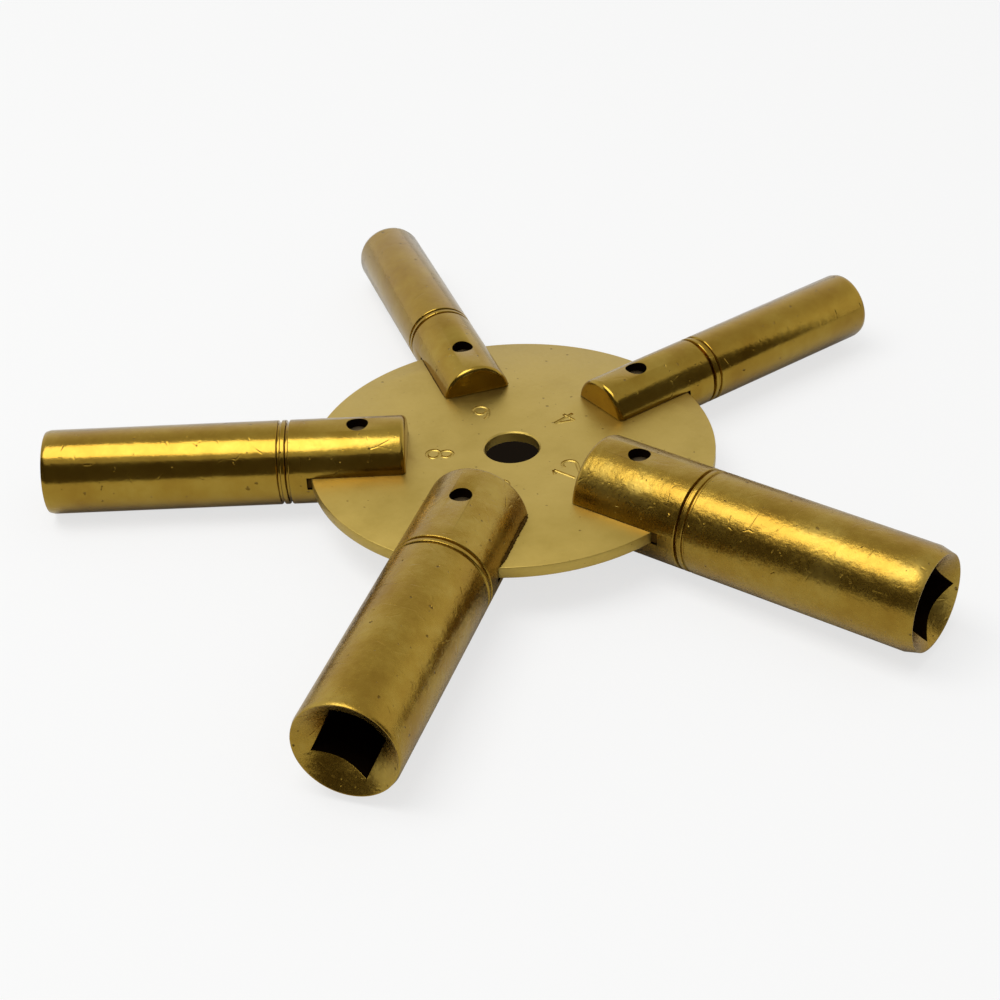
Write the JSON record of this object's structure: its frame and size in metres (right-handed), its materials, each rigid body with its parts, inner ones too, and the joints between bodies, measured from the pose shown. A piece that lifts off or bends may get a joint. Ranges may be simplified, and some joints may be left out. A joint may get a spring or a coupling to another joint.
{
  "type": "star key",
  "caption": "Flat disc with slotted rods pinned and soldered round its edge like a star, each with a square socket in its end for a different size of square spindle.",
  "frame": {"origin": "centre of the hole in the middle of the disc, halfway through the disc's thickness", "axes": "+Z along the middle hole, out of the face that carries the size numbers; +X along the prong numbered 12; the prongs 4, 6, 8 and 10 follow every 72 degrees counter-clockwise seen from +Z"},
  "size_m": [0.077, 0.0797, 0.009],
  "materials": {
    "sheet_brass": "satin, lightly scratched",
    "turned_brass": "turned, handled to a dull polish",
    "pin_brass": "rough cut ends, darkened"
  },
  "bodies": {
    "root": {"disc": "sheet_brass", "prong_4": "turned_brass", "prong_6": "turned_brass", "prong_8": "turned_brass", "prong_10": "turned_brass", "prong_12": "turned_brass", "pin_4": "pin_brass", "pin_6": "pin_brass", "pin_8": "pin_brass", "pin_10": "pin_brass", "pin_12": "pin_brass"}
  },
  "joints": []
}
